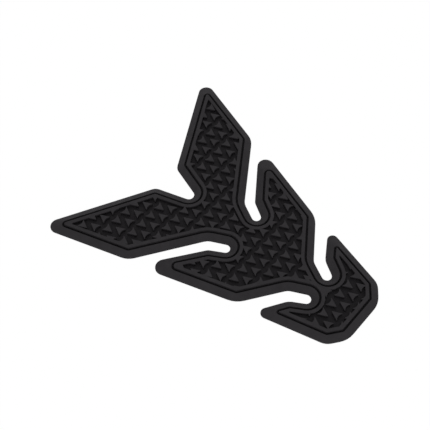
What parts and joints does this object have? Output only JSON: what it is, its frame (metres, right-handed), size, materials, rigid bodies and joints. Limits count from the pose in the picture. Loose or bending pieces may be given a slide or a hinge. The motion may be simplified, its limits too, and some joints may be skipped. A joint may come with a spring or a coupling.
{
  "type": "motorcycle tank pad",
  "caption": "Flat rubber pad with swept fins on a central spine, a sloping border, a raised rim and a tread of triangular studs; sticks to a fuel tank to protect it and give grip.",
  "frame": {"origin": "centre of the bounding box, on the flat back face", "axes": "+Z out of the back face through the tread, +Y from the nose to the tail with the two wings, X across, symmetric about X = 0"},
  "size_m": [0.156, 0.1942, 0.0039],
  "materials": {
    "rubber": "matte"
  },
  "bodies": {
    "root": {"tank_pad": "rubber"}
  },
  "joints": []
}
